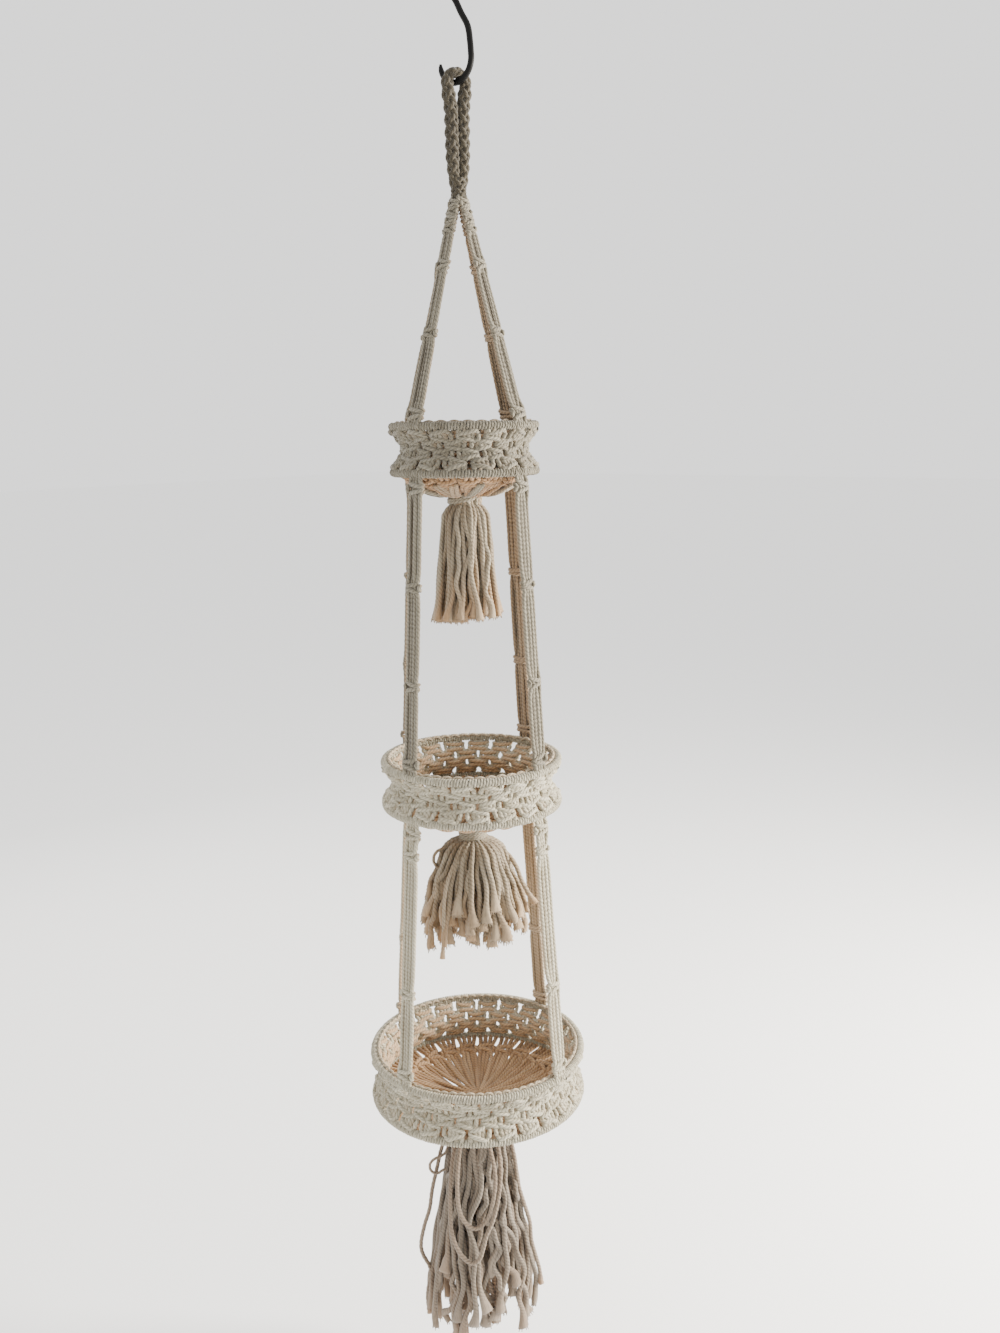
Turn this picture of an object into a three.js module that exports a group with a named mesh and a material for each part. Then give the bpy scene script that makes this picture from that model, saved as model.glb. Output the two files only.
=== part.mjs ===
// Hanging planter of knotted cotton cord: three round baskets, one below the other, on a steel S-hook.
// Millimetres, +Z up. The origin is the point inside the hook's upper bend where a rail bears, and
// everything hangs below it. The hook lies in the XZ plane, the hanging loop roughly across it, and the
// four straps of each level stand at +X, +Y, -X and -Y.
import * as THREE from "three";

// Driving dimensions
const facets = 20; // round each basket
const smallFacets = 12; // round knots, gathers and tassels
const strapFacets = 6;
const hookSteps = 40; // along the hook's rod
const loopSteps = 34; // along the hanging loop
const clearance = 0.4; // between pieces that touch
const swingGap = 3; // room at each end of a strap that swings

const hookWire = 4; // radius of the hook's rod
const railBend = 20; // centre-line radius of the hook's upper bend
const loopBend = 26; // centre-line radius of its lower bend
const hookDrop = 146; // between the lowest and highest points of its centre line

const loopThickness = 7; // half the hanging loop's thickness
const loopEye = 13; // centre-line radius of the loop where it bends over the hook
const legSpread = 7.6; // half the distance between its two legs lower down
const loopTurn = -20; // degrees that the loop hangs turned from square to the hook
const saddleGap = 0.8; // between the loop and the hook it swings on
const loopBottom = -262;

const neckHinge = -272.5; // centre of the round neck knot
const neckRadius = 10;
const neckHeight = 22;
const neckSpread = 7.5; // of the four strap ends below the neck

const rodRadius = 1.6; // steel ring inside each rim
const hitchRadius = 6; // cord hitched round that ring
const bandWall = 7;
const waistDepth = 15; // how far each basket's wall draws in at half height
const netThickness = 5;
const seatShare = 0.42; // radius of each floor's flat middle, as a share of the ring's
const gatherHeight = 14;

const strapRadius = 5; // half a strap's thickness
const strapFlatness = 1.6; // width over thickness
const knotSwell = 1.25; // knots and collars over the plain strap
const levelTurns = [0, 1, 2, 3]; // quarter turns of the four straps of a level

// Finishes
const shadedCotton = { color: 0xa89c88, roughness: 0.95, metalness: 0 };
const paleCotton = { color: 0xd9cdb8, roughness: 0.95, metalness: 0 };
const floorCotton = { color: 0xc9a779, roughness: 0.95, metalness: 0 };
const ringSteel = { color: 0xa8a9a6, roughness: 0.4, metalness: 1 };
const blackIron = { color: 0x0f0e0d, roughness: 0.5, metalness: 0.6 };

// The three baskets, from the top. sag is how far a floor's flat middle lies below its lower ring.
// Tassel outlines are pairs of radius and depth below the gather.
const tiers = [
  {
    name: "tier_1",
    ring: 96,
    rim: -570,
    wall: 60,
    sag: 22,
    gather: 22,
    finish: shadedCotton,
    tassel: [[16, 4.5], [25, 8], [33, 14], [36, 55], [43, 122], [49, 166], [44, 173]],
  },
  {
    name: "tier_2",
    ring: 122.5,
    rim: -1032,
    wall: 60,
    sag: 22,
    gather: 25,
    finish: paleCotton,
    tassel: [[18, 5], [27, 9], [38, 17], [52, 52], [66, 108], [78, 140], [62, 171]],
  },
  {
    name: "tier_3",
    ring: 152.5,
    rim: -1472,
    wall: 66,
    sag: 15,
    gather: 28,
    finish: paleCotton,
    tassel: [[20, 5.5], [30, 9.5], [42, 20], [52, 95], [74, 190], [86, 280], [72, 345], [48, 372]],
  },
];

const planter = new THREE.Group();

function addMesh(name, geometry, finish, parent = planter) {
  const mesh = new THREE.Mesh(geometry, new THREE.MeshStandardMaterial(finish));
  mesh.name = name;
  parent.add(mesh);
  return mesh;
}

// A body turned about Z from [radius, height] pairs that run up its outer side.
function turned(profile, steps = facets) {
  const points = profile.map(([radius, height]) => new THREE.Vector2(radius, height));
  return new THREE.LatheGeometry(points, steps).rotateX(Math.PI / 2);
}

// [radius, height] pairs on an arc about a centre, angles in degrees from the outward direction.
function arc(centre, height, radius, from, to, steps) {
  return Array.from({ length: steps + 1 }, (_, i) => {
    const angle = THREE.MathUtils.degToRad(from + ((to - from) * i) / steps);
    return [centre + radius * Math.cos(angle), height + radius * Math.sin(angle)];
  });
}

function swept(points, radius, steps) {
  const section = new THREE.Shape().absarc(0, 0, radius, 0, 2 * Math.PI);
  const extrudePath = new THREE.CatmullRomCurve3(points, false, "centripetal");
  return new THREE.ExtrudeGeometry(section, { steps, curveSegments: 4, extrudePath });
}

// S-hook: the tip and the lower bend, a spine that crosses the axis, then the upper bend and its tip.
function hookGeometry() {
  const upper = hookWire - railBend;
  const lower = hookWire - hookDrop + loopBend;
  const bend = (height, radius, from, to) => arc(0, height, radius, from, to, 8);
  const line = [
    ...bend(lower, loopBend, -180, 0),
    [loopBend * 0.95, lower + 17],
    [loopBend * 0.82, lower + 36],
    [loopBend * 0.42, lower + 53],
    [0, lower + 72],
    [-railBend * 0.65, upper - 14],
    ...bend(upper, railBend, 180, 0),
  ];
  return swept(line.map(([x, z]) => new THREE.Vector3(x, 0, z)), hookWire, hookSteps);
}

// Hanging loop: a round knotted bundle that bends over the hook and comes down in two legs.
function loopGeometry() {
  const saddle = hookWire - hookDrop;
  const crown = saddle + hookWire + saddleGap + loopThickness;
  const leg = [
    [legSpread, loopBottom],
    [legSpread, crown - 75],
    [legSpread + 0.7, crown - 52],
    [loopEye - 3.2, crown - 40],
    [loopEye - 0.5, crown - loopEye - 12],
  ];
  const line = [
    ...leg,
    ...arc(0, crown - loopEye, loopEye, 0, 180, 8),
    ...leg.map(([y, z]) => [-y, z]).reverse(),
  ];
  const points = line.map(([y, z]) => new THREE.Vector3(0, y, z));
  return swept(points, loopThickness, loopSteps);
}

function neckGeometry() {
  const bottom = neckHinge + neckRadius - neckHeight;
  return turned(
    [
      [0, bottom],
      [neckRadius - 2.5, bottom],
      [neckRadius, bottom + 3],
      ...arc(0, neckHinge, neckRadius, 0, 90, 5),
    ],
    smallFacets,
  );
}

// A strap along its own +Z, from its lower end, with a knot at each end and collars between.
function strapGeometry(length, topShare, collars) {
  const plain = (height) => strapRadius * (1 + (topShare - 1) * (height / length));
  const knot = (height, half) => [
    [plain(height - half), height - half],
    [knotSwell * plain(height), height - half + 2],
    [knotSwell * plain(height), height + half - 2],
    [plain(height + half), height + half],
  ];
  const collarHalf = 6;
  return turned(
    [
      [0, 0],
      [plain(0), 0],
      [knotSwell * plain(0), 3],
      [knotSwell * plain(0), 14],
      [plain(17), 17],
      ...collars.flatMap((share) => knot(share * length, collarHalf)),
      [plain(length - 17), length - 17],
      [knotSwell * plain(length), length - 14],
      [knotSwell * plain(length), length - 3],
      [plain(length), length],
      [0, length],
    ],
    strapFacets,
  ).scale(1, strapFlatness, 1);
}

// The four straps of one level, each leaning from its top point to its bottom point.
function addStraps(name, finish, top, bottom, topShare, collars) {
  const length = Math.hypot(bottom.radius - top.radius, top.height - bottom.height);
  const lean = Math.atan2(top.radius - bottom.radius, top.height - bottom.height);
  for (const turn of levelTurns) {
    const quarter = new THREE.Group();
    quarter.rotation.z = (turn * Math.PI) / 2;
    planter.add(quarter);
    const geometry = strapGeometry(length, topShare, collars);
    const strap = addMesh(`${name}_${turn + 1}`, geometry, finish, quarter);
    strap.position.set(bottom.radius, 0, bottom.height);
    strap.rotation.y = lean;
  }
}

function ringGeometry(radius, height) {
  return turned(arc(radius, height, rodRadius, -90, 270, 6));
}

// Cord hitched round a ring: an open tube whose slit faces the wall of the basket.
function hitchGeometry(radius, height, slitAngle) {
  const slit = 22;
  const outside = arc(radius, height, hitchRadius, slitAngle + slit, slitAngle + 360 - slit, 6);
  const bore = arc(radius, height, rodRadius + clearance, slitAngle + 360 - slit, slitAngle + slit, 5);
  return turned([...outside, ...bore, outside[0]]);
}

// Wall of a basket: square knots in a band that draws in at half height.
function bandGeometry(radius, top, bottom) {
  const levels = 5;
  const middle = (share) => radius - waistDepth * Math.sin(Math.PI * share);
  const side = (offset) =>
    Array.from({ length: levels }, (_, i) => {
      const share = i / (levels - 1);
      return [middle(share) + offset, bottom + share * (top - bottom)];
    });
  const outer = side(bandWall / 2);
  const inner = side(-bandWall / 2).reverse();
  return turned([...outer, ...inner, outer[0]]);
}

// Floor of a basket: cords that run in from the lower ring and sag to a flat middle.
function floorGeometry(radius, height, sag) {
  const edge = radius - hitchRadius - clearance;
  const upper = [
    [edge, height + 1],
    [radius * 0.68, height - sag * 0.62],
    [radius * seatShare, height - sag],
    [0, height - sag],
  ];
  const under = upper.map(([r, z]) => [r, z - netThickness]).reverse();
  return turned([...under, ...upper]);
}

function gatherGeometry(radius, top) {
  return turned(
    [
      [0, top - gatherHeight],
      [radius - 2, top - gatherHeight],
      [radius, top - gatherHeight + 3],
      [radius, top - 3],
      [radius - 2, top],
      [0, top],
    ],
    smallFacets,
  );
}

function tasselGeometry(outline, top) {
  const side = outline.map(([r, depth]) => [r, top - depth]).reverse();
  return turned([[0, side[0][1]], ...side, [0, top - clearance]], smallFacets);
}

function addTier({ name, ring, rim, wall, sag, gather, finish, tassel }) {
  const base = rim - wall;
  const reach = hitchRadius + clearance;
  addMesh(`${name}_top_ring`, ringGeometry(ring, rim), ringSteel);
  addMesh(`${name}_top_hitches`, hitchGeometry(ring, rim, -90), finish);
  addMesh(`${name}_knotted_band`, bandGeometry(ring, rim - reach, base + reach), finish);
  addMesh(`${name}_bottom_ring`, ringGeometry(ring, base), ringSteel);
  addMesh(`${name}_bottom_hitches`, hitchGeometry(ring, base, 90), finish);
  addMesh(`${name}_floor_net`, floorGeometry(ring, base, sag), floorCotton);
  const gatherTop = base - sag - netThickness - clearance;
  addMesh(`${name}_gather_wrap`, gatherGeometry(gather, gatherTop), finish);
  addMesh(`${name}_tassel`, tasselGeometry(tassel, gatherTop - gatherHeight), finish);
}

addMesh("s_hook", hookGeometry(), blackIron);
addMesh("hanging_loop", loopGeometry(), shadedCotton).rotation.z = THREE.MathUtils.degToRad(loopTurn);
addMesh("neck_knot", neckGeometry(), shadedCotton);
tiers.forEach(addTier);

const [first, second, third] = tiers;
const aboveRim = (tier, room) => ({ radius: tier.ring, height: tier.rim + hitchRadius + room });
const belowBase = (tier) => ({
  radius: tier.ring,
  height: tier.rim - tier.wall - hitchRadius - swingGap,
});
const neckEnd = { radius: neckSpread, height: neckHinge + neckRadius - neckHeight - 2 };
addStraps("upper_strap", shadedCotton, neckEnd, aboveRim(first, clearance), 0.6, [0.4, 0.71]);
addStraps("middle_strap", shadedCotton, belowBase(first), aboveRim(second, swingGap), 1, [0.3, 0.64]);
addStraps("lower_strap", paleCotton, belowBase(second), aboveRim(third, swingGap), 1, [0.35, 0.89]);

export default planter;
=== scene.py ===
import math

import bpy
import numpy as np
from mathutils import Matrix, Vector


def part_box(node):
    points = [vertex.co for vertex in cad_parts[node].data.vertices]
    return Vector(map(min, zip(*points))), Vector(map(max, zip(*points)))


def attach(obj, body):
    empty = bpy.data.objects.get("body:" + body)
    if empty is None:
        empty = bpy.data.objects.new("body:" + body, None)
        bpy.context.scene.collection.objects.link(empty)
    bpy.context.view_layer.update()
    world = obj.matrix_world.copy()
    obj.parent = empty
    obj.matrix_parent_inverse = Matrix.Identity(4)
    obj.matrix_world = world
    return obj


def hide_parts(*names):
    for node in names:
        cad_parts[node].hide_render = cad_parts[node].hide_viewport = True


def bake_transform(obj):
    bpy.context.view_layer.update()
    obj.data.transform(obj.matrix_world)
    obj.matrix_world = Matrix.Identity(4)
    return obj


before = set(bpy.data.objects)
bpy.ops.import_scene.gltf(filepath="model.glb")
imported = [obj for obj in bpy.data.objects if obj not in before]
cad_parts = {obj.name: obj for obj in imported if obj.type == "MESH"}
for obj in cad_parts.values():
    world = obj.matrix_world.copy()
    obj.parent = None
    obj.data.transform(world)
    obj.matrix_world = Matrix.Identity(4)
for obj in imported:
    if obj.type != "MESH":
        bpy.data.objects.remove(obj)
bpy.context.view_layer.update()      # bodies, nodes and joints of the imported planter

chance = np.random.default_rng(7)      # one seeded source for every small irregularity
mm = 0.001


# camera, light and floor

view = {"azimuth": 40, "distance": 1.641, "aside": 0.043, "height": -0.5736,
        "pitch": 11.25, "roll": -0.98, "lens": 32.4, "clipEnd": 60}
facing = math.radians(view["azimuth"])
toFront = np.array([math.sin(facing), -math.cos(facing), 0.0])      # towards the camera
toRight = np.array([math.cos(facing), math.sin(facing), 0.0])


def makeCamera():
    spot = view["distance"] * toFront + view["aside"] * toRight
    data = bpy.data.cameras.new("camera")
    data.lens = view["lens"]
    data.clip_end = view["clipEnd"]
    camera = bpy.data.objects.new("camera", data)
    bpy.context.scene.collection.objects.link(camera)
    camera.location = (spot[0], spot[1], view["height"])
    camera.rotation_euler = (math.radians(90 - view["pitch"]), 0, facing)
    camera.rotation_euler.rotate_axis("Z", math.radians(view["roll"]))
    bpy.context.scene.camera = camera


studio = {"floorDrop": 0.09, "floorSize": 60, "floorColour": (0.96, 0.96, 0.955, 1), "floorRough": 0.9,
          "sky": (1.0, 0.995, 0.985, 1), "skyStrength": 1.6}
lamps = [      # name, place, aim, size, power, colour
    ("window", (2.1, 1.9, -0.5), (0, 0, -1.25), 0.9, 400, (1.0, 0.95, 0.86)),
    ("front", (0.2, -3.2, 0.2), (0, 0, -0.9), 2.6, 9, (0.95, 0.98, 1.0)),
    ("left", (-2.4, 0.6, -0.2), (0, 0, -1.2), 1.8, 26, (1.0, 0.95, 0.88)),
]


def makeStudio():
    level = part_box("tier_3_tassel")[0].z - studio["floorDrop"]
    bpy.ops.mesh.primitive_plane_add(size=studio["floorSize"], location=(0, 0, level))
    floor = bpy.context.object
    floor.name = "studio_floor"
    bpy.ops.object.transform_apply()
    paint, tree, shader = newMaterial("pale_floor")
    shader.inputs["Base Color"].default_value = studio["floorColour"]
    shader.inputs["Roughness"].default_value = studio["floorRough"]
    floor.data.materials.append(paint)
    world = bpy.data.worlds.new("soft_room")
    world.use_nodes = True
    sky = world.node_tree.nodes["Background"]
    sky.inputs["Color"].default_value = studio["sky"]
    sky.inputs["Strength"].default_value = studio["skyStrength"]
    bpy.context.scene.world = world
    for name, spot, aim, size, power, colour in lamps:
        data = bpy.data.lights.new(name, "AREA")
        data.size = size
        data.energy = power
        data.color = colour
        lamp = bpy.data.objects.new(name, data)
        lamp.location = spot
        away = np.array(spot) - np.array(aim)
        lamp.rotation_euler = (math.atan2(math.hypot(away[0], away[1]), away[2]), 0,
                               math.atan2(away[1], away[0]) + math.pi / 2)
        bpy.context.scene.collection.objects.link(lamp)


# materials

def display(*screen):      # a colour as a screen shows it, 0 to 255, made linear
    return (*(c / 255 / 12.92 if c < 11 else ((c / 255 + 0.055) / 1.055) ** 2.4 for c in screen), 1)


cottons = {     # light and dark of the yarn, the painted shade between its plies, and a warm tint that paints warm shade on inner faces and tints other cords
    # the first two rows are darker copies of the yarn: painted shade on tier 1, the upper and middle straps,
    # the loop and the neck
    "shaded_cotton": ((144, 137, 120), (106, 98, 82), (56, 49, 38), (170, 138, 104)),
    "deep_shade_cotton": ((76, 69, 54), (54, 48, 37), (40, 34, 26), (116, 94, 68)),
    "pale_cotton": ((196, 189, 168), (150, 142, 121), (100, 88, 66), (184, 146, 106)),
    "tassel_cotton": ((160, 150, 130), (120, 108, 89), (56, 46, 34), (180, 140, 98)),
    "grey_cotton": ((136, 126, 113), (99, 89, 77), (50, 42, 34), (170, 134, 102)),
    # the floor cotton's tan is painted warm light, standing for the light that glows through and bounces about
    # inside the baskets
    "floor_cotton": ((190, 156, 118), (152, 118, 84), (66, 46, 30), (170, 128, 88)),
}
yarn = {"plies": 3, "lay": 0.017, "plyDepth": 0.0006, "ridge": 0.11, "grooveShade": 0.55, "mottle": 38,
        "mottleShare": 0.8, "fuzzSize": 1500, "fuzzDepth": 0.00025, "fuzzShade": 0.12, "fibresAround": 30,
        "fibresAlong": 90, "fibreDepth": 0.0005, "fibreShade": (1.6, 0.3),
        "roughness": 0.93, "specular": 0.25, "sheen": 0.2, "sheenRough": 0.5}
metals = {      # satin black coating, and dull drawn wire
    "black_iron": {"metallic": 0.1, "specular": 0.12, "patches": 90, "grain": 1400, "rough": (0.3, 0.36),
                   "colours": ((0.002, 0.002, 0.002, 1), (0.007, 0.0065, 0.006, 1))},
    "ring_steel": {"metallic": 1, "specular": 0.5, "patches": 60, "grain": 900, "rough": (0.35, 0.3),
                   "colours": ((0.5, 0.5, 0.49, 1), (0.3, 0.27, 0.24, 1))},
}
grainDepth = 0.0001


def newMaterial(name):
    material = bpy.data.materials.new(name)
    material.use_nodes = True
    return material, material.node_tree, material.node_tree.nodes["Principled BSDF"]


def feed(tree, socket, value):      # with a wire from another node, or a set value
    if isinstance(value, bpy.types.NodeSocket):
        tree.links.new(value, socket)
    else:
        socket.default_value = value


def mathNode(tree, operation, *values):
    node = tree.nodes.new("ShaderNodeMath")
    node.operation = operation
    for socket, value in zip(node.inputs, values):
        feed(tree, socket, value)
    return node.outputs[0]


def mixColours(tree, *values):      # a share from 0 to 1, and the two colours
    node = tree.nodes.new("ShaderNodeMix")
    node.data_type = "RGBA"
    for socket, value in zip((node.inputs["Factor"], node.inputs[6], node.inputs[7]), values):
        feed(tree, socket, value)
    return node.outputs[2]


def noiseNode(tree, spot, scale, detail):
    node = tree.nodes.new("ShaderNodeTexNoise")
    node.inputs["Scale"].default_value = scale
    node.inputs["Detail"].default_value = detail
    tree.links.new(spot, node.inputs["Vector"])
    return node.outputs["Fac"]


def bumpNode(tree, height, depth, below=None):
    node = tree.nodes.new("ShaderNodeBump")
    node.inputs["Strength"].default_value = 1
    node.inputs["Distance"].default_value = depth
    tree.links.new(height, node.inputs["Height"])
    if below is not None:
        tree.links.new(below, node.inputs["Normal"])
    return node.outputs[0]


def attributeNode(tree, name):
    node = tree.nodes.new("ShaderNodeAttribute")
    node.attribute_name = name
    return node.outputs["Fac"]


def cottonMaterial(name, light, dark, groove, warm):     # v of the UV map is metres along the cord
    material, tree, shader = newMaterial(name)

    def calc(*values):
        return mathNode(tree, *values)

    for socket, key in (("Roughness", "roughness"), ("Specular IOR Level", "specular"),
                        ("Sheen Weight", "sheen"), ("Sheen Roughness", "sheenRough")):
        shader.inputs[socket].default_value = yarn[key]
    uv = tree.nodes.new("ShaderNodeUVMap")
    uv.uv_map = "UVMap"
    split = tree.nodes.new("ShaderNodeSeparateXYZ")
    tree.links.new(uv.outputs[0], split.inputs[0])
    around, far = split.outputs[0], split.outputs[1]
    climb = calc("MULTIPLY", far, 1 / yarn["lay"] * yarn["plies"])
    phase = calc("MULTIPLY_ADD", around, yarn["plies"], climb)
    ply = calc("ABSOLUTE", calc("SINE", calc("MULTIPLY", phase, math.pi)))
    loose = attributeNode(tree, "loose")      # 1 where the twist has come out
    twisted = calc("SUBTRACT", 1.0, loose)
    strands = tree.nodes.new("ShaderNodeCombineXYZ")
    tree.links.new(calc("MULTIPLY", around, yarn["fibresAround"]), strands.inputs[0])
    tree.links.new(calc("MULTIPLY", far, yarn["fibresAlong"]), strands.inputs[1])
    fibres = noiseNode(tree, strands.outputs[0], 1, 2)
    spot = tree.nodes.new("ShaderNodeTexCoord").outputs["Object"]
    mottle = noiseNode(tree, spot, yarn["mottle"], 4)
    fuzz = noiseNode(tree, spot, yarn["fuzzSize"], 2)
    share = yarn["mottleShare"]
    tone = calc("MULTIPLY_ADD", mottle, share, calc("SUBTRACT", attributeNode(tree, "tone"), share / 2))
    deep = calc("MAXIMUM", calc("SUBTRACT", tone, 1.0), 0.0)     # painted shade: tone above 1 darkens towards the groove colour, for cords in gaps and inside bundles
    tone = calc("MINIMUM", calc("MAXIMUM", tone, 0.0), 1.0)
    colour = mixColours(tree, tone, light, dark)
    colour = mixColours(tree, attributeNode(tree, "warmth"), colour, warm)
    low = calc("POWER", calc("SUBTRACT", 1.0, ply), 2.0)
    low = calc("MULTIPLY", calc("MULTIPLY", low, twisted), yarn["grooveShade"])
    low = calc("MULTIPLY_ADD", fuzz, yarn["fuzzShade"], low)
    between = calc("MAXIMUM", calc("SUBTRACT", fibres, 0.5), 0.0)
    low = calc("MULTIPLY_ADD", between, calc("MULTIPLY_ADD", loose, *yarn["fibreShade"]), low)
    low = calc("MINIMUM", calc("ADD", low, deep), 1.0)
    tree.links.new(mixColours(tree, low, colour, groove), shader.inputs["Base Color"])
    relief = bumpNode(tree, calc("MULTIPLY", ply, twisted), yarn["plyDepth"])
    relief = bumpNode(tree, fibres, yarn["fibreDepth"], relief)
    relief = bumpNode(tree, fuzz, yarn["fuzzDepth"], relief)
    tree.links.new(relief, shader.inputs["Normal"])
    return material


def metalMaterial(name, made):      # two shades of metal in patches
    material, tree, shader = newMaterial(name)
    shader.inputs["Metallic"].default_value = made["metallic"]
    shader.inputs["Specular IOR Level"].default_value = made["specular"]
    spot = tree.nodes.new("ShaderNodeTexCoord").outputs["Object"]
    patches = noiseNode(tree, spot, made["patches"], 5)
    grain = noiseNode(tree, spot, made["grain"], 2)
    tree.links.new(mixColours(tree, patches, *made["colours"]), shader.inputs["Base Color"])
    tree.links.new(mathNode(tree, "MULTIPLY_ADD", patches, *made["rough"]), shader.inputs["Roughness"])
    tree.links.new(bumpNode(tree, grain, grainDepth), shader.inputs["Normal"])
    return material


materials = {name: cottonMaterial(name, *(display(*colour) for colour in colours))
             for name, colours in cottons.items()}
materials.update({name: metalMaterial(name, made) for name, made in metals.items()})


# cords as meshes: paths are arrays of cords x points x 3, in metres

def unit(vectors):
    return vectors / np.linalg.norm(vectors, axis=-1, keepdims=True)


def framesAlong(paths, closed=False):      # directions along and across each path, carried without twist
    if closed:
        along = unit(np.roll(paths, -1, axis=1) - np.roll(paths, 1, axis=1))
    else:
        along = unit(np.gradient(paths, axis=1))
    upright = np.abs(along[:, 0, 2:3]) > 0.9
    helper = np.where(upright, (1.0, 0.0, 0.0), (0.0, 0.0, 1.0))
    across = np.empty_like(paths)
    across[:, 0] = unit(np.cross(along[:, 0], helper))
    for i in range(1, paths.shape[1]):
        lean = np.sum(across[:, i - 1] * along[:, i], axis=1, keepdims=True)
        across[:, i] = unit(across[:, i - 1] - lean * along[:, i])
    third = np.cross(along, across)
    if closed:      # share out the turn that is left where the ends meet
        last = across[:, -1]
        miss = np.arctan2(np.sum(last * third[:, 0], axis=1), np.sum(last * across[:, 0], axis=1))
        turn = (-miss[:, None] * np.arange(paths.shape[1]) / paths.shape[1])[..., None]
        across, third = (np.cos(turn) * across + np.sin(turn) * third,
                         np.cos(turn) * third - np.sin(turn) * across)
    return along, across, third


def distances(paths):      # metres from the start of each path
    gaps = np.linalg.norm(np.diff(paths, axis=1), axis=2)
    return np.concatenate([np.zeros((len(paths), 1)), np.cumsum(gaps, axis=1)], axis=1)


def smooth(controls, perSpan):      # a smooth line through the given points
    points = np.array(controls, float, ndmin=3)
    points = np.concatenate([2 * points[:, :1] - points[:, 1:2], points,
                             2 * points[:, -1:] - points[:, -2:-1]], axis=1)
    t = (np.arange(perSpan) / perSpan)[None, None, :, None]
    p0, p1, p2, p3 = (points[:, i:points.shape[1] - 3 + i, None] for i in range(4))
    line = 0.5 * (2 * p1 + (p2 - p0) * t + (2 * p0 - 5 * p1 + 4 * p2 - p3) * t ** 2
                  + (3 * p1 - p0 - 3 * p2 + p3) * t ** 3)
    return np.concatenate([line.reshape(len(points), -1, 3), points[:, -2:-1]], axis=1)


def evenly(path, spacing):      # the same line with its points a set distance apart
    far = distances(path[None])[0]
    marks = np.linspace(0, far[-1], max(3, round(far[-1] / spacing) + 1))
    return np.stack([np.interp(marks, far, path[:, k]) for k in range(3)], axis=1)


def polar(radius, angle, height):      # points about the planter's axis
    return np.stack(np.broadcast_arrays(radius * np.cos(angle), radius * np.sin(angle), height), axis=-1)


marksOf = ("tone", "warmth", "loose")      # what each point tells the material


def newBundle():
    return {"used": 0, **{name: [] for name in ("points", "corners", "sizes", "uvs", *marksOf)}}


def addCords(bundle, paths, radius, sides=6, closed=False, tone=0.5, warmth=0.0, plies=0, flat=1.0, lean=0.0,
             loose=0.0, dome=0.6):
    paths = np.array(paths, float, ndmin=3)
    count, steps = paths.shape[:2]
    along, across, third = framesAlong(paths, closed)
    far = distances(paths)
    angle = math.tau * np.arange(sides) / sides
    size = np.broadcast_to(radius, (count, steps))[..., None]
    if plies:      # the plies stand out as ridges that wind along the cord
        wind = angle + math.tau * far[..., None] / yarn["lay"]
        size = size * (1 + yarn["ridge"] * np.cos(plies * wind))
    wide = size * np.cos(angle)
    thin = np.broadcast_to(flat, (count, steps))[..., None] * size * np.sin(angle)
    lean = np.broadcast_to(lean, count)[:, None, None]
    wide, thin = wide * np.cos(lean) - thin * np.sin(lean), wide * np.sin(lean) + thin * np.cos(lean)
    rings = paths[:, :, None] + wide[..., None] * across[:, :, None] + thin[..., None] * third[:, :, None]
    first = bundle["used"]
    index = first + np.arange(count * steps * sides).reshape(count, steps, sides)
    beside = np.roll(index, -1, axis=2)
    ahead, aheadBeside = np.roll(index, -1, axis=1), np.roll(beside, -1, axis=1)
    quads = np.stack([index, beside, aheadBeside, ahead], axis=-1)
    low = np.broadcast_to(np.arange(sides) / sides, index.shape)
    high = low + 1 / sides
    near = np.broadcast_to(far[..., None], index.shape)
    if closed:
        whole = far[:, -1:] + np.linalg.norm(paths[:, :1] - paths[:, -1:], axis=2)
        rest = np.broadcast_to(np.concatenate([far[:, 1:], whole], axis=1)[..., None], index.shape)
    else:
        rest = np.roll(near, -1, axis=1)
    uvs = np.stack([np.stack(pair, -1) for pair in ((low, near), (high, near), (high, rest), (low, rest))],
                   axis=-2)
    if not closed:
        quads, uvs = quads[:, :-1], uvs[:, :-1]
    bundle["points"].append(rings.reshape(-1, 3))
    bundle["corners"].append(quads.reshape(-1))
    bundle["uvs"].append(uvs.reshape(-1, 2))
    bundle["sizes"].append(np.full(quads.size // 4, 4))
    used = count * steps * sides
    marks = {}
    for name, value in zip(marksOf, (tone, warmth, loose)):
        value = np.asarray(value, float)
        value = value[:, None] if value.ndim == 1 and len(value) == count != steps else value
        marks[name] = np.broadcast_to(value, (count, steps))
        bundle[name].append(np.repeat(marks[name].reshape(-1), sides))
    if not closed:      # a low dome closes each end
        for end, way in ((0, -1), (-1, 1)):
            tips = paths[:, end] + way * dome * size[:, end].mean(axis=1, keepdims=True) * along[:, end]
            tip = np.broadcast_to((first + used + np.arange(count))[:, None], (count, sides))
            pair = (beside[:, end], index[:, end]) if way < 0 else (index[:, end], beside[:, end])
            fans = np.stack([*pair, tip], axis=-1)
            corner = np.stack([low[:, 0], high[:, 0], low[:, 0]], axis=-1)
            fanUvs = np.stack([corner, np.broadcast_to(far[:, end, None, None], corner.shape)], axis=-1)
            bundle["points"].append(tips)
            bundle["corners"].append(fans.reshape(-1))
            bundle["uvs"].append(fanUvs.reshape(-1, 2))
            bundle["sizes"].append(np.full(count * sides, 3))
            for name in marks:
                bundle[name].append(marks[name][:, end])
            used += count
    bundle["used"] += used


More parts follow.
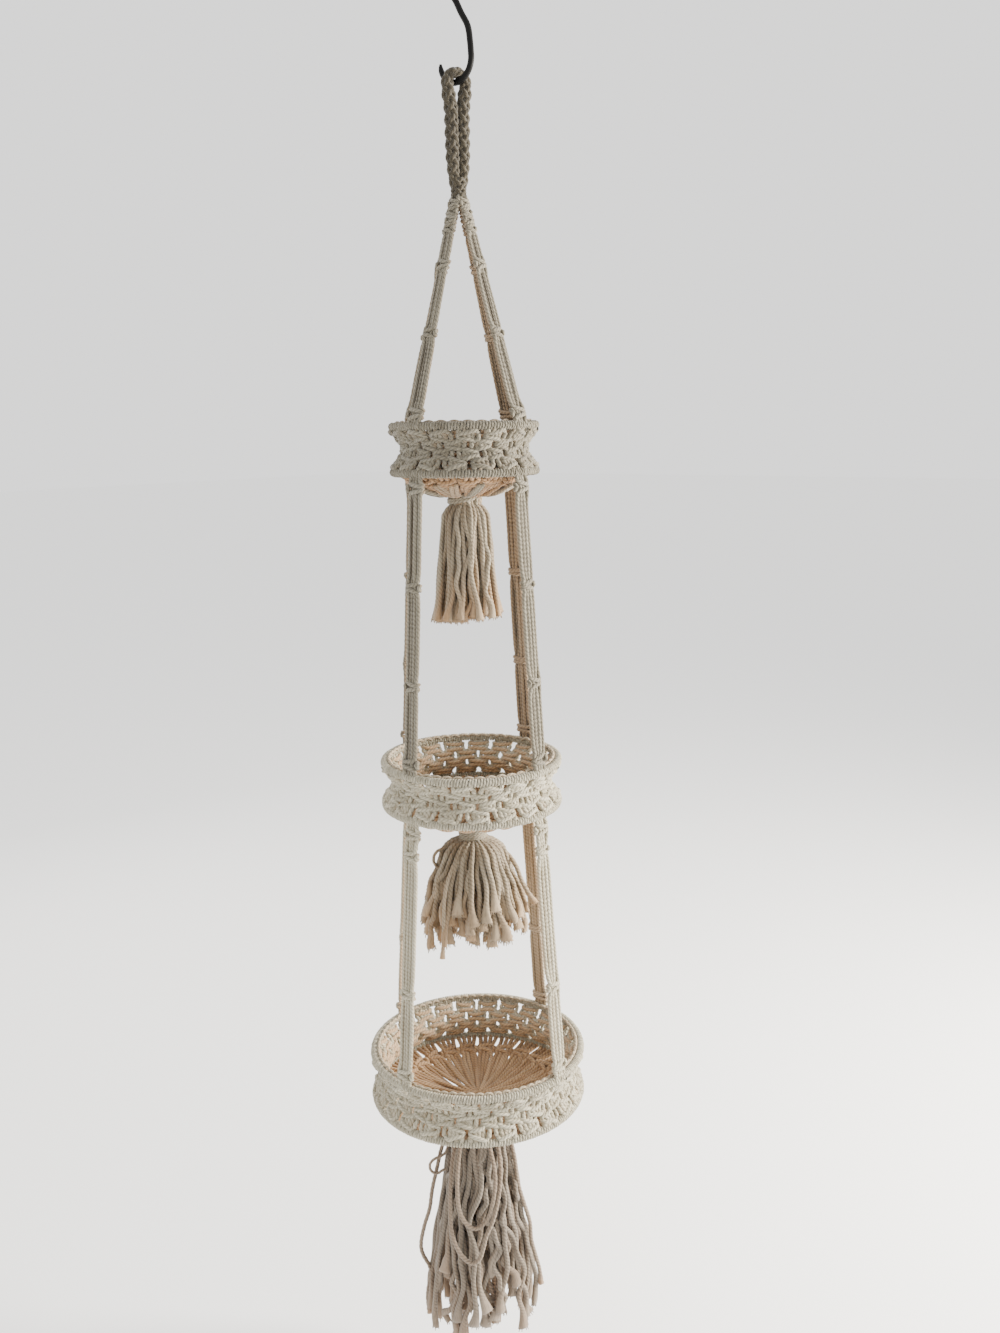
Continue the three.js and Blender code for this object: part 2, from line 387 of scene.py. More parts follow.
def bundleObject(bundle, name, material):
    points = np.concatenate(bundle["points"])
    corners = np.concatenate(bundle["corners"])
    sizes = np.concatenate(bundle["sizes"])
    mesh = bpy.data.meshes.new(name)
    mesh.vertices.add(len(points))
    mesh.vertices.foreach_set("co", points.ravel())
    mesh.loops.add(len(corners))
    mesh.loops.foreach_set("vertex_index", corners.astype(np.int32))
    mesh.polygons.add(len(sizes))
    mesh.polygons.foreach_set("loop_start", np.concatenate([[0], np.cumsum(sizes)[:-1]]).astype(np.int32))
    mesh.update(calc_edges=True)
    mesh.polygons.foreach_set("use_smooth", np.ones(len(sizes), bool))
    mesh.uv_layers.new(name="UVMap").data.foreach_set("uv", np.concatenate(bundle["uvs"]).ravel())
    for mark in marksOf:
        mesh.attributes.new(mark, "FLOAT", "POINT").data.foreach_set("value", np.concatenate(bundle[mark]))
    mesh.materials.append(materials[material])
    piece = bpy.data.objects.new(name, mesh)
    bpy.context.scene.collection.objects.link(piece)
    return piece


def place(piece, body, slot, *nodes):      # ride on a body and stand for its CAD solids; the slot is not used
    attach(piece, body)
    if nodes:
        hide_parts(*nodes)


def onPath(path, aside, outward, far):      # points beside a path, at distances along it
    along, across, third = framesAlong(path[None])
    marks = distances(path[None])[0]
    spots, ways, outs = (np.stack([np.interp(far, marks, field[:, k]) for k in range(3)], axis=-1)
                         for field in (path, across[0], third[0]))
    return spots + aside[..., None] * ways + outward[..., None] * outs


def braid(path, made):      # cords wind both ways round a core, over and under
    bundle = newBundle()
    long = distances(path[None])[0, -1]
    far = np.linspace(0, long, round(long / made["spacing"]))
    wide = np.interp(far, np.linspace(0, long, len(made["spread"])), made["spread"])
    for way in (1, -1):
        for k in range(made["pairs"]):
            angle = way * math.tau * far / made["lay"] + math.tau * k / made["pairs"]
            under = made["weave"] * made["cord"] * np.cos(math.tau * far * made["pairs"] / made["lay"])
            out = wide + way * under
            line = onPath(path, out * np.cos(angle), out * np.sin(angle), far)
            addCords(bundle, line, made["cord"], 7, tone=0.5 + chance.uniform(-0.15, 0.15))
    addCords(bundle, onPath(path, 0 * far, 0 * far, far), wide + 0.0003, 8, tone=0.7)
    return bundle


def mirrored(half):     # the lower half of a knot repeats its upper half
    return half + [(x, y, -z) for x, y, z in reversed(half[:-1])]


# One square knot, seen from its front: x across in half widths, y outwards in millimetres, z up in heights.
# The first cord crosses the front twice, the second goes behind and comes round the left side.
frontCord = mirrored([(-0.62, 1.3, 0.42), (-0.25, 3.3, 0.31), (0.3, 3.8, 0.21), (0.83, 2.5, 0.14),
                      (0.99, 0.6, 0)])
rearCord = mirrored([(0.8, 2.2, 0.42), (1.0, -0.6, 0.27), (0.4, -3.2, 0.19), (-0.5, -3.2, 0.15),
                     (-0.98, 0.2, 0.22), (-0.93, 3.2, 0)])


def knotShape(shape, halfWidth, height, thick=1.0):     # the template at a size, in metres
    return np.array(shape) * np.array([halfWidth, thick * mm, height])


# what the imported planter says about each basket

columns = {1: 16, 2: 20, 3: 26}      # square knots in one row of each wall
cottonOf = {1: "shaded_cotton", 2: "pale_cotton", 3: "pale_cotton"}
tasselCottonOf = {1: "tassel_cotton", 2: "tassel_cotton", 3: "grey_cotton"}
ringWire = 0.0016      # radius of the steel rings


def readTier(number):
    name = f"tier_{number}"
    upper, lower, floor, gather = (
        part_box(f"{name}_{part}") for part in ("top_ring", "bottom_ring", "floor_net", "gather_wrap"))
    return {"name": name, "number": number, "columns": columns[number],
            "cotton": cottonOf[number], "tasselCotton": tasselCottonOf[number],
            "ring": upper[1].x - ringWire, "rim": (upper[0].z + upper[1].z) / 2,
            "base": (lower[0].z + lower[1].z) / 2, "floorLow": floor[0].z,
            "gather": gather[1].x, "top": gather[1].z, "foot": gather[0].z}


tiers = [readTier(number) for number in (1, 2, 3)]


# the black S-hook

hook = {"wire": 0.004, "railBend": 0.02, "loopBend": 0.026, "drop": 0.146, "sides": 20, "bendSteps": 26,
        "spineSteps": 22, "tipLength": 0.013, "tipSlim": 0.62, "lead": 0.012, "perSpan": 8,
        "spine": [(0.95, 0.017), (0.82, 0.036), (0.42, 0.053), (0, 0.072)],    # in loop bends, above that bend
        "shoulder": (0.65, 0.014)}      # in rail bends, below that bend


def makeHook():
    rail, arm = hook["railBend"], hook["loopBend"]
    upper = hook["wire"] - rail
    lower = hook["wire"] - hook["drop"] + arm
    bpy.ops.mesh.primitive_circle_add(vertices=hook["sides"], radius=hook["wire"], fill_type="NGON",
                                      location=(-arm, 0, lower))
    piece = bpy.context.object
    piece.name = "black_hook"
    bpy.ops.object.transform_apply()
    bpy.ops.object.mode_set(mode="EDIT")
    bpy.ops.mesh.select_all(action="SELECT")
    bpy.ops.mesh.spin(steps=hook["bendSteps"], angle=math.pi, center=(0, 0, lower), axis=(0, 1, 0))
    points = [(arm, 0, lower - hook["lead"]), (arm, 0, lower)]
    points += [(arm * x, 0, lower + z) for x, z in hook["spine"]]
    x, z = hook["shoulder"]
    points += [(-rail * x, 0, upper - z), (-rail, 0, upper), (-rail, 0, upper + hook["lead"])]
    line = smooth(points, hook["perSpan"])[0, hook["perSpan"]:-hook["perSpan"]]
    line = evenly(line, distances(line[None])[0, -1] / hook["spineSteps"])
    along = framesAlong(line[None])[0][0]
    along[0] = along[-1] = (0, 0, 1)
    for i in range(1, len(line)):
        bpy.ops.mesh.extrude_region_move(TRANSFORM_OT_translate={"value": tuple(line[i] - line[i - 1])})
        bend = math.atan2(along[i][0], along[i][2]) - math.atan2(along[i - 1][0], along[i - 1][2])
        bpy.ops.transform.rotate(value=-bend, orient_axis="Y", center_override=tuple(line[i]))
    bpy.ops.mesh.spin(steps=hook["bendSteps"], angle=-math.pi, center=(0, 0, upper), axis=(0, 1, 0))
    bpy.ops.mesh.select_all(action="SELECT")
    bpy.ops.mesh.remove_doubles(threshold=0.00002)
    bpy.ops.mesh.normals_make_consistent(inside=False)
    bpy.ops.object.mode_set(mode="OBJECT")
    for vertex in piece.data.vertices:      # both tips taper to a blunt point
        for side, height in ((-arm, lower), (rail, upper)):
            way = 1 if height == lower else -1
            short = hook["tipLength"] - abs(vertex.co.z - height)
            past = (vertex.co.z - height) * way <= 1e-5
            if abs(vertex.co.x - side) < 2 * hook["wire"] and past and short > 0:
                slim = 1 - hook["tipSlim"] * (short / hook["tipLength"]) ** 2
                vertex.co.x = side + (vertex.co.x - side) * slim
                vertex.co.y *= slim
    bpy.ops.object.shade_smooth_by_angle(angle=math.radians(40))
    piece.data.materials.append(materials["black_iron"])
    place(piece, "hook", "black_iron", "s_hook")


# the steel rings inside the hoops

ringParts = {"around": 120, "wireSides": 12, "weldWide": 0.004, "weldHigh": 0.35}


def makeRing(plan, edge, height, seam):
    bpy.ops.mesh.primitive_torus_add(major_segments=ringParts["around"], minor_segments=ringParts["wireSides"],
                                     major_radius=plan["ring"], minor_radius=ringWire, location=(0, 0, height))
    piece = bpy.context.object
    piece.name = f"{plan['name']}_{edge}_steel_ring"
    bpy.ops.object.transform_apply()
    weld = polar(plan["ring"], seam, height)
    for vertex in piece.data.vertices:      # the weld is a low bead round the wire
        core = polar(plan["ring"], math.atan2(vertex.co.y, vertex.co.x), height)
        off = np.linalg.norm(core - weld) / ringParts["weldWide"]
        vertex.co = core + (np.array(vertex.co) - core) * (1 + ringParts["weldHigh"] * math.exp(-off ** 2))
    bpy.ops.object.shade_smooth()
    piece.data.materials.append(materials["ring_steel"])
    place(piece, plan["name"], "ring_steel", f"{plan['name']}_{edge}_ring")


# cord hitched round each ring

hitches = {"cord": 0.0019, "round": 0.0041, "pitch": 0.0038, "perTurn": 9, "sides": 5, "uneven": 0.00014}
scallops = {"pitch": {1: 0.019, 2: 0.0155, 3: 0.0128}, "cord": 0.002, "perWave": 10, "inside": 0.0058,
            "lean": 0.0004, "foot": 0.0026, "rise": 0.003, "uneven": 0.08}


def wander(count, perWave, size):      # smooth noise that closes on itself
    marks = chance.normal(0, size, max(3, count // perWave))
    marks = np.append(marks, marks[0])
    return np.interp(np.linspace(0, len(marks) - 1, count, endpoint=False), np.arange(len(marks)), marks)


def makeHitches(plan, edge, height):
    bundle = newBundle()
    turns = round(math.tau * plan["ring"] / hitches["pitch"])
    steps = turns * hitches["perTurn"]
    share = np.arange(steps) / steps
    roll = math.tau * turns * share
    angle = math.tau * (share + wander(steps, hitches["perTurn"], 0.05) / turns)
    out = hitches["round"] + wander(steps, hitches["perTurn"], hitches["uneven"])
    line = polar(plan["ring"] + out * np.cos(roll), angle, height + out * np.sin(roll))
    tone = np.repeat(chance.uniform(0.2, 0.7, turns), hitches["perTurn"])[None]
    addCords(bundle, line, hitches["cord"], hitches["sides"], closed=True, tone=tone)
    if edge == "top":      # a row of loops stands up behind the rim
        waves = round(math.tau * plan["ring"] / scallops["pitch"][plan["number"]])
        steps = waves * scallops["perWave"]
        turn = math.tau * np.arange(steps) / steps
        lift = np.abs(np.cos(waves * turn / 2)) ** 0.7
        lift = lift * (1 + wander(steps, scallops["perWave"], scallops["uneven"]))
        radius = plan["ring"] - scallops["inside"] - scallops["lean"] * lift
        line = polar(radius, turn, height + scallops["foot"] + scallops["rise"] * lift)
        addCords(bundle, line, scallops["cord"], 7, closed=True, warmth=0.3)
    piece = bundleObject(bundle, f"{plan['name']}_{edge}_hitched_cord", plan["cotton"])
    place(piece, plan["name"], plan["cotton"], f"{plan['name']}_{edge}_hitches")


# basket walls: rows of square knots, each row set half a knot on

# the last two numbers paint warm shade and bounced light onto the wall's inner faces
wall = {"rows": 4, "cord": 0.003, "core": 0.0037, "sides": 6, "knotWide": 0.382, "knotHigh": 1.42,
        "waist": 0.015, "reach": 0.0064, "uneven": 0.0004, "innerWarmth": 0.75, "insideShadeDepth": 3 * mm}


def wallRadius(plan, height):
    low = plan["base"] + wall["reach"]
    share = np.clip((height - low) / (plan["rim"] - wall["reach"] - low), 0, 1)
    return plan["ring"] - wall["waist"] * np.sin(math.pi * share)


def knotLines(linkX, linkZ, halfWidth, height, lane):      # the two tying cords of a knot and its three cores
    outer, inner = np.array([-0.8, 0, -0.6]) * lane, np.array([0.8, 0, 0.6]) * lane
    up = np.array([-linkX, 0, linkZ])
    sink, flip = np.array([1, 1, -1]), np.array([-1, 1, 1])
    front = np.vstack([up + outer, knotShape(frontCord, halfWidth, height), (up + outer) * sink])
    rear = np.vstack([(up + outer) * flip, knotShape(rearCord, halfWidth, height), (up + outer) * flip * sink])
    core = np.array([(-0.28, 0, 0.4), (-0.42, 0.5, 0), (-0.28, 0, -0.4)])
    left = np.vstack([up + inner, knotShape(core, halfWidth, height), (up + inner) * sink])
    middle = knotShape(core * np.array([0, 1.6, 0.75]), halfWidth, height)
    return [front, rear, left, left * flip, middle]


def makeWall(plan):
    bundle = newBundle()
    count = plan["columns"]
    cords = (wall["cord"], wall["cord"], wall["core"], wall["core"], wall["core"])
    rowHeight = (plan["rim"] - plan["base"] - 2 * wall["reach"]) / wall["rows"]
    for row in range(wall["rows"]):
        middle = plan["rim"] - wall["reach"] - (row + 0.5) * rowHeight
        pitch = math.tau * wallRadius(plan, middle) / count
        turn = math.tau * (np.arange(count) + 0.5 * (row % 2)) / count
        flip = np.where(chance.random(count) < 0.5, -1.0, 1.0)
        wide, high = wall["knotWide"] * pitch, wall["knotHigh"] * rowHeight
        for cord, line in zip(cords, knotLines(pitch / 4, rowHeight / 2, wide, high, wall["cord"])):
            local = np.repeat(line[None], count, axis=0)
            local[..., 0] *= flip[:, None]
            local[:, 1:-1] += chance.normal(0, wall["uneven"], local[:, 1:-1].shape)
            local = smooth(local, 2)
            height = middle + local[..., 2]
            radius = wallRadius(plan, height)
            paths = polar(radius + local[..., 1], turn[:, None] + local[..., 0] / radius, height)
            # painted warm shade and bounced light on the faces that look into the basket
            inner = wall["innerWarmth"] * np.clip(0.2 - local[..., 1] / wall["insideShadeDepth"], 0, 1)
            tone = chance.uniform(0.2, 0.75, count)
            addCords(bundle, paths, cord, wall["sides"], tone=tone, warmth=inner)
    piece = bundleObject(bundle, f"{plan['name']}_wall_knots", plan["cotton"])
    place(piece, plan["name"], plan["cotton"], f"{plan['name']}_knotted_band")


# corded floors: cords run in from the lower hoop, meet in one row of knots and go on to the middle

net = {"cord": 0.0033, "knotAt": 0.78, "halfWidth": 0.012, "knotHeight": 0.0185, "thickness": 0.005,
       "layerStep": 0.0024, "uneven": 0.0006, "shade": 0.35, "drift": 0.16, "run": 7, "drop": 0.006}


def floorHeight(plan, radius):
    sag = plan["base"] - plan["floorLow"] - net["thickness"]
    marks = [0, 0.42 * plan["ring"], 0.68 * plan["ring"], plan["ring"] - 0.006]
    sunk = np.interp(radius, marks, [-sag, -sag, -0.62 * sag, 0.001])
    return plan["base"] - net["thickness"] / 2 + sunk


def makeFloor(plan):
    bundle = newBundle()
    count = plan["columns"]
    turn = math.tau * (np.arange(count) + 0.5 * (wall["rows"] % 2)) / count
    knotAt = net["knotAt"] * plan["ring"]
    laneAngle = math.tau / count / 4
    full = count * 4 * net["cord"] / math.pi      # inside this radius the cords must pile up
    run, deep = net["run"], plan["top"] - net["drop"]
    lines = knotLines(0, 0, net["halfWidth"], net["knotHeight"], 0)
    for line, lane, layer in zip(lines, (-1.5, 1.5, -0.5, 0.5), (0, 1, 3, 2)):
        shape = line[1:-1]
        radius = np.broadcast_to(knotAt + shape[:, 2], (count, len(shape)))
        angle = turn[:, None] + shape[:, 0] / knotAt
        rise = np.broadcast_to(shape[:, 1], radius.shape)
        outRadius = np.array([plan["ring"] - 0.003, (plan["ring"] + knotAt) / 2 + 0.004])
        outAngle = turn[:, None] + lane * laneAngle * np.array([1.0, 0.9])
        end = 0.004 + layer * (plan["gather"] - 0.0095) / 3
        inRadius = np.linspace(knotAt - net["knotHeight"], end + 0.006, run)
        drift = chance.normal(0, net["drift"], (count, 1)) * laneAngle * np.linspace(0.4, 2.2, run)
        inAngle = turn[:, None] + lane * laneAngle + drift
        pile = np.clip((full - inRadius) / (0.6 * full), 0, 1)
        inRise = -layer * net["layerStep"] * pile + chance.normal(0, net["uneven"], (count, run))
        radius = np.concatenate([np.broadcast_to(outRadius, (count, 2)), radius,
                                 np.broadcast_to(inRadius, (count, run))], axis=1)
        angle = np.concatenate([outAngle, angle, inAngle], axis=1)
        rise = np.concatenate([np.zeros((count, 2)), rise, inRise], axis=1)
        height = floorHeight(plan, radius) + rise
        radius = np.concatenate([radius, np.full((count, 3), end) + np.array([0.002, 0, 0])], axis=1)
        angle = np.concatenate([angle, np.repeat(angle[:, -1:], 3, axis=1)], axis=1)
        last = height[:, -1:]
        height = np.concatenate([height, last - 0.002, last * 0.6 + deep * 0.4, 0 * last + deep], axis=1)
        paths = smooth(polar(radius, angle, height), 3)
        middle = np.linalg.norm(paths[..., :2], axis=-1)
        slim = np.interp(middle, [0.004, 0.02, 0.06, plan["ring"]], [0.75, 0.9, 1, 1.1])
        shade = net["shade"] * (plan["number"] == 1)      # painted shade: the smallest floor is painted darker
        addCords(bundle, paths, net["cord"] * slim, 6, tone=chance.uniform(0.15, 0.8, count) + shade)
    piece = bundleObject(bundle, f"{plan['name']}_floor_cords", "floor_cotton")
    place(piece, plan["name"], "floor_cotton", f"{plan['name']}_floor_net")


# wraps that gather the cords under each floor

wraps = {1: {"turns": 2, "cord": 0.0026, "tilt": 0.0046, "drop": 0.001, "out": 0.003, "reach": 0.003,
             "narrow": 0},
         2: {"turns": 9, "cord": 0.0018, "tilt": 0.0005, "drop": 0.018, "out": -0.0015, "reach": 0.014,
             "narrow": 0.004},
         3: {"turns": 3, "cord": 0.0023, "tilt": 0.001, "drop": 0, "out": 0, "reach": 0.0042, "narrow": 0}}
wrapTurn = {"steps": 36, "highAt": 0.87, "tuck": 0.004, "tuckShare": 0.02}
runIn = {"pairs": 13, "cord": 0.0031, "apart": 0.0031, "below": 0.006, "uneven": 0.0006, "deep": 0.012,
         "shares": (0.8, 0.62, 0.44, 0.3, 0.225, 0.2, 0.19)}     # of the hoop, from the rim to the middle


def makeWrap(plan):
    bundle = newBundle()
    made = wraps[plan["number"]]
    turn = np.linspace(0, math.tau * made["turns"], made["turns"] * wrapTurn["steps"] + 1)
    share = turn / turn[-1]
    tucked = wrapTurn["tuck"] * ((share < wrapTurn["tuckShare"]) | (share > 1 - wrapTurn["tuckShare"]))
    radius = plan["gather"] - made["cord"] + made["out"] - tucked - made["narrow"] * share
    middle = (plan["top"] + plan["foot"] - made["drop"]) / 2
    rise = middle + made["reach"] * (1 - 2 * share) + made["tilt"] * np.sin(turn + wrapTurn["highAt"])
    addCords(bundle, polar(radius, turn, rise), made["cord"], 8, tone=0.25, plies=3)
    if plan["number"] == 1:
        addRunIn(bundle, plan)
    piece = bundleObject(bundle, f"{plan['name']}_gather_cord", plan["tasselCotton"])
    place(piece, plan["name"], plan["cotton"], f"{plan['name']}_gather_wrap")


def addRunIn(bundle, plan):      # pairs of stout cords run in under the floor and through the tie
    pairs = runIn["pairs"]
    turn = math.tau * (np.arange(pairs) + chance.uniform(-0.3, 0.3, pairs)) / pairs
    share = np.array(runIn["shares"])
    radius = share * plan["ring"] * chance.uniform(0.95, 1.04, (pairs, 1))
    angle = turn[:, None] + chance.uniform(-0.5, 0.5, (pairs, 1)) * (1 - share) ** 2
    rise = floorHeight(plan, share[:4] * plan["ring"]) - runIn["below"]
    rise = np.append(rise, [plan["top"] - 0.004, plan["foot"], plan["foot"] - runIn["deep"]])
    warmth = np.clip(chance.uniform(-0.8, 0.6, pairs), 0, 1)
    for shift in (-1, 1):
        paths = polar(radius, angle + shift * runIn["apart"] / radius, rise + shift * runIn["uneven"])
        addCords(bundle, smooth(paths, 4), runIn["cord"], 8, tone=chance.uniform(0.1, 0.7, pairs),
                 warmth=warmth, plies=3)


# tassels of loose strands

brush = {"slant": 0, "clumps": 13, "outer": 0.34, "flareFlat": 0.45, "fibreLong": 0.008}
tassels = {
    1: {"strands": 100, "cord": 0.003, "shortest": 0.15, "longest": 0.155, "slant": 0.004,
        "outline": [(0.018, 0), (0.027, 0.006), (0.034, 0.015), (0.038, 0.055), (0.045, 0.122),
                    (0.052, 0.166)],
        "wave": 0.0044, "waveLength": 0.1, "clumps": 11, "gather": 0.5, "warm": 0.6, "outer": 0.38,
        "flare": 2.0, "flareLong": 0.03, "flareFlat": 0.75, "fibres": 6, "fibreLong": 0.006},
    2: {**brush, "strands": 118, "cord": 0.0034, "shortest": 0.116, "longest": 0.16,
        "outline": [(0.0175, 0.015), (0.035, 0.02), (0.047, 0.03), (0.06, 0.064), (0.076, 0.11),
                    (0.084, 0.14)],
        "wave": 0.0046, "waveLength": 0.08, "gather": 0.45, "warm": 0.45, "flare": 2.7, "flareLong": 0.036,
        "fibres": 8, "sideShort": 0.028},
    3: {**brush, "strands": 124, "cord": 0.0036, "shortest": 0.235, "longest": 0.35,
        "outline": [(0.021, 0), (0.032, 0.006), (0.043, 0.02), (0.053, 0.095), (0.07, 0.19), (0.084, 0.28)],
        "wave": 0.0074, "waveLength": 0.09, "gather": 0.4, "warm": 0.25, "flare": 2.6, "flareLong": 0.04,
        "fibres": 7},
}
looseStrands = [      # name, tier, width, far end, length
    # and route in mm from the foot of its gather: to the right, to the front, and down
    ("tier_3_upper_front_loop", 3, 0.0062, "object", 0.34,
     [(-16, 14, 13), (-25, 38, 28), (-31, 55, 62), (-33, 64, 100), (-30, 67, 130), (-21, 69, 149),
      (-8, 70, 157), (5, 69, 150), (14, 67, 136), (21, 64, 108), (23, 58, 76), (16, 44, 42), (9, 24, 16)]),
    ("tier_3_lower_front_loop", 3, 0.0062, "object", 0.441,
     [(-20, 16, 13), (-36, 40, 44), (-43, 58, 90), (-44, 66, 150), (-38, 71, 180), (-26, 75, 201),
      (-13, 77, 209), (-2, 77, 202), (4, 76, 184), (9, 73, 166), (18, 70, 146), (26, 64, 118),
      (31, 56, 80), (28, 42, 42), (18, 24, 16)]),
    ("tier_3_left_loose_strand", 3, 0.006, "bare", 0.358,
     [(-22, 4, 13), (-44, 2, 36), (-58, 0, 70), (-66, 0, 104), (-74, 0, 139), (-79, 0, 172),
      (-88, 0, 202), (-94, 0, 233), (-91, 0, 252), (-82, 3, 268), (-79, 5, 284), (-84, 5, 303),
      (-86, 4, 326), (-83, 4, 350)]),
    ("tier_3_small_curl", 3, 0.0042, "bare", 0.176,
     [(-21, 8, 13), (-38, 6, 34), (-46, 5, 56), (-51, 6, 72), (-59, 7, 79), (-69, 8, 83), (-76, 8, 92),
      (-74, 8, 103), (-65, 8, 107), (-56, 7, 102), (-46, 5, 100), (-38, 3, 110), (-36, 2, 130)]),
    ("tier_3_right_loose_strand", 3, 0.0062, "bare", 0.299,
     [(22, 4, 13), (42, 6, 40), (52, 8, 80), (57, 10, 124), (66, 10, 160), (74, 8, 192), (76, 8, 222),
      (82, 6, 250), (88, 6, 276), (90, 6, 300)]),
    ("tier_2_small_curl", 2, 0.0044, "bare", 0.096,
     [(-10, 6, 28), (-24, 4, 28), (-37, 4, 29), (-48, 5, 32), (-55, 6, 38), (-57, 7, 48), (-52, 8, 57),
      (-44, 8, 60), (-38, 6, 54), (-34, 3, 46)]),
    ("tier_2_front_strand", 2, 0.005, "bare", 0.173,
     [(-7, 11, 28), (-20, 30, 33), (-31, 44, 51), (-38, 55, 72), (-41, 62, 98), (-42, 66, 124),
      (-43, 67, 150), (-45, 67, 170)]),
    ("tier_2_right_strand", 2, 0.0066, "bare", 0.127,
     [(10, -4, 28), (29, -6, 31), (47, -4, 41), (60, 0, 58), (69, 2, 82), (79, 3, 102), (88, 3, 116)]),
]
stray = {"spacing": 0.0035, "flareLong": 0.024, "flare": 0.6, "openFrom": 0.0045}
goldenTurn = math.pi * (3 - math.sqrt(5))


def flareProfile(paths, made):      # how far each point has opened into the brush at its end, 0 to 1
    far = distances(paths)
    part = np.clip((far - far[:, -1:]) / made["flareLong"] + 1, 0, 1)
    return part ** 1.6


def makeLooseStrands():     # the strands that stray furthest, each a cord of its own
    for name, tier, wide, farEnd, long, route in looseStrands:
        plan = tiers[tier - 1]
        route = np.array(route) * mm @ np.array([toRight, toFront, (0, 0, -1)])
        path = evenly(smooth(np.array([0, 0, plan["foot"]]) + route, 6)[0], stray["spacing"])
        opened = flareProfile(path[None], stray)[0] * (farEnd == "bare") * (wide > stray["openFrom"])
        bundle = newBundle()
        radius = wide / 2 * (1 + stray["flare"] * opened)
        addCords(bundle, path, radius[None], 10, tone=chance.uniform(0.1, 0.5), plies=3, dome=0.2,
                 warmth=0.2 + 0.4 * opened[None], loose=np.clip(2 * opened, 0, 1)[None])
        piece = bundleObject(bundle, name, plan["tasselCotton"])
        place(piece, f"tassel_{tier}", plan["cotton"])
        print(name, "is", round(float(distances(path[None])[0, -1]), 3), "m long")


def makeTassel(plan):
    bundle = newBundle()
    made = tassels[plan["number"]]
    count = made["strands"]
    share = ((np.arange(count) + 0.5) / count) ** made["outer"]
    turn = goldenTurn * np.arange(count)
    clumps = made["clumps"]
    clump = math.tau * (np.arange(clumps) + chance.uniform(-0.3, 0.3, clumps)) / clumps
    away = (clump[None] - turn[:, None] + math.pi) % math.tau - math.pi
    pull = np.take_along_axis(away, np.abs(away).argmin(axis=1)[:, None], axis=1)[:, 0]
    pull = pull * chance.uniform(0.0, made["gather"], count)
    length = chance.uniform(made["shortest"], made["longest"], count) + made["slant"] * np.cos(turn - 3.9)
    if "sideShort" in made:      # strands that leave sideways end higher
        length = length - made["sideShort"] * (share > 0.8) * chance.random(count)
    grow = np.linspace(0, 1, 34) ** 1.15      # points lie closer together under the gather
    gatherHeight = plan["top"] - plan["foot"]
    depth = grow[None] * (length[:, None] + gatherHeight)
    below = np.maximum(depth - gatherHeight, 0)
    wide, low = zip(*made["outline"])
    outline = np.interp(below, low, wide)
    radius = (outline - 0.7 * made["cord"] * np.clip(below / 0.01, 0, 1)) * share[:, None]
    swing = np.clip(below / 0.06, 0, 1)
    waves = made["waveLength"] * chance.uniform(0.7, 2.6, (count, 1))
    phase = chance.uniform(0, math.tau, (4, count, 1))
    size = made["wave"] * chance.uniform(0.3, 1.0, (count, 1)) * swing
    sideways = size * (np.sin(math.tau * below / waves + phase[0])
                       + 0.55 * np.sin(math.tau * below / waves * 2.3 + phase[1])
                       + 1.3 * np.sin(math.tau * below / (waves * 3) + phase[3]))
    radius = radius + 0.4 * size * np.sin(math.tau * below / waves * 1.3 + phase[2])
    angle = turn[:, None] + pull[:, None] * np.clip(below / 0.05, 0, 1) + sideways / np.maximum(radius, 0.012)
    start = plan["top"] - 0.003
    paths = smooth(polar(radius, angle, start - depth), 2)
    steps = paths.shape[1]
    # the inner strands are painted darker and warmer: painted shade inside the bundle
    tone = np.clip(chance.uniform(0.1, 0.8, (count, 1)) + (1 - share[:, None]) * 0.8, 0, 1.4)
    warmth = made["warm"] * np.interp(np.linspace(0, 1, steps), [0, 0.6, 1], [0.1, 0.15, 1])[None]
    warmth = np.clip(warmth + 0.5 * (1 - share[:, None]), 0, 0.9) * chance.uniform(0.3, 1.2, (count, 1))
    addStrands(bundle, paths, made, tone, np.clip(warmth, 0, 1), math.pi - angle[:, -1])
    piece = bundleObject(bundle, f"{plan['name']}_tassel_strands", plan["tasselCotton"])
    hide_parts(f"{plan['name']}_tassel")
    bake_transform(piece)


def addStrands(bundle, paths, made, tone, warmth, lean):    # cords whose twist comes out into a soft brush
    count, steps = paths.shape[:2]
    opened = flareProfile(paths, made)
    thick = made["cord"] * (1 + (made["flare"] - 1) * opened)
    thick = thick * np.interp(np.linspace(0, 1, steps), [0, 0.12], [0.7, 1])
    lean = lean + chance.normal(0, 0.5, count)
    addCords(bundle, paths, thick, 9, tone=tone, warmth=warmth, plies=3, lean=lean, dome=0.15,
             flat=1 - (1 - made["flareFlat"]) * opened, loose=np.clip(2.2 * opened, 0, 1))
    along, across, third = framesAlong(paths)
    wide = np.cos(lean)[:, None] * across[:, -1] + np.sin(lean)[:, None] * third[:, -1]
    thin = np.cos(lean)[:, None] * third[:, -1] - np.sin(lean)[:, None] * across[:, -1]
    for k in range(made["fibres"]):      # single fibres stand out past the brush
        turn = math.tau * (k + chance.random((count, 1))) / made["fibres"]
        out = thick[:, -1:] * 0.85 * (np.cos(turn) * wide + made["flareFlat"] * np.sin(turn) * thin)
        long = made["fibreLong"] * chance.uniform(0.5, 1.2, (count, 1))
        line = [paths[:, -1] + out * (0.8 + 0.35 * part) + along[:, -1] * long * (part - 0.4)
                for part in (0, 0.5, 1)]
        addCords(bundle, np.stack(line, axis=1), np.array([0.9, 0.8, 0.5]) * mm, 3,
                 tone=np.clip(tone[:, 0], 0, 1), warmth=warmth[:, -1], loose=1)


# straps: four cords side by side, tied in square knots, with thinner ones between them

